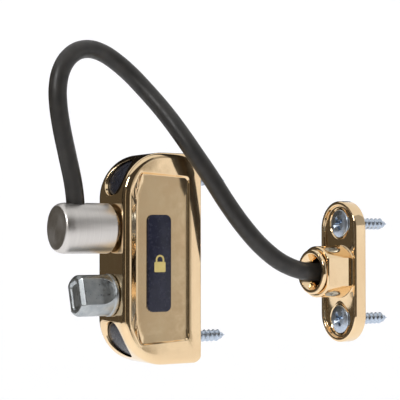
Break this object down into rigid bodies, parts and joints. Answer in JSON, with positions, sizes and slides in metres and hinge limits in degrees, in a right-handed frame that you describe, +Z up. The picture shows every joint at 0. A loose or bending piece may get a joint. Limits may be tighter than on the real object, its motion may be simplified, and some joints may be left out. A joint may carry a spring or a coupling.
{
  "type": "window restrictor cable",
  "caption": "Keyed window restrictor: a lock housing for the frame, a plug on a coated steel cable that locks into it, and an anchor plate with a swivelling cable eye for the sash.",
  "frame": {"origin": "centre of the lock housing's back face, which lies on the window frame", "axes": "+X to the right along the window, towards the anchor plate; +Y into the wall; +Z up"},
  "size_m": [0.0451, 0.1178, 0.1076],
  "materials": {
    "brass_plating": "polished warm gold plating on a zinc die-casting",
    "stainless": "turned stainless steel, brushed round its axis",
    "plated_steel": "satin zinc-plated sheet",
    "key_zinc": "dull tumbled zinc die-casting",
    "zinc_screw": "bright bluish zinc plating",
    "spring_steel": "bare spring steel",
    "cable_coating": "satin black extruded coating",
    "black_cap": "moulded black plastic",
    "badge_enamel": "dark glossy enamel"
  },
  "bodies": {
    "root": {"housing_shell": "brass_plating", "back_plate": "plated_steel", "back_plate_screw_upper": "zinc_screw", "back_plate_screw_lower": "zinc_screw", "cheek_badge": "badge_enamel", "screw_cap_upper": "black_cap", "screw_cap_lower": "black_cap", "housing_screw_upper": "zinc_screw", "housing_screw_lower": "zinc_screw", "latch_spring": "spring_steel", "anchor_plate": "brass_plating", "anchor_screw_upper": "zinc_screw", "anchor_screw_lower": "zinc_screw", "cable_plug_end": "cable_coating", "cable_anchor_end": "cable_coating"},
    "socket_bush": {"socket_bush": "brass_plating"},
    "plug": {"plug_barrel": "stainless", "plug_pin": "stainless", "cable_crimp": "spring_steel"},
    "lock_core": {"lock_core": "brass_plating", "lock_cam": "plated_steel", "cam_retainer": "spring_steel"},
    "key": {"key": "key_zinc"},
    "latch": {"latch_bolt": "plated_steel"},
    "ferrule": {"swivel_ferrule": "brass_plating", "ferrule_clip": "spring_steel", "cable_stop": "spring_steel"}
  },
  "joints": [
    {"name": "plug_swivel", "type": "hinge", "parent": "root", "child": "socket_bush", "pos_m": [0, -0.0297, 0.0099], "axis": [0, 1, 0], "range_deg": [-15, 60], "deforming": ["cable_anchor_end"]},
    {"name": "plug_slide", "type": "slide", "parent": "socket_bush", "child": "plug", "axis": [0, -1, 0], "range_m": [0, 0.016], "deforming": ["cable_plug_end"]},
    {"name": "key_turn", "type": "hinge", "parent": "root", "child": "lock_core", "pos_m": [0, -0.0297, -0.0121], "axis": [0, 1, 0], "range_deg": [0, 90]},
    {"name": "key_slide", "type": "slide", "parent": "lock_core", "child": "key", "axis": [0, -1, 0], "range_m": [0, 0.012]},
    {"name": "latch_slide", "type": "slide", "parent": "root", "child": "latch", "axis": [0, 0, 1], "range_m": [0, 0.0016], "deforming": ["latch_spring"]},
    {"name": "ferrule_swivel", "type": "hinge", "parent": "root", "child": "ferrule", "pos_m": [0.026, 0.035, -0.0047], "axis": [0, 1, 0], "continuous": true}
  ],
  "couplings": [
    {"joint": "latch_slide", "follows": "key_turn", "m_per_rad": 0.001018}
  ]
}
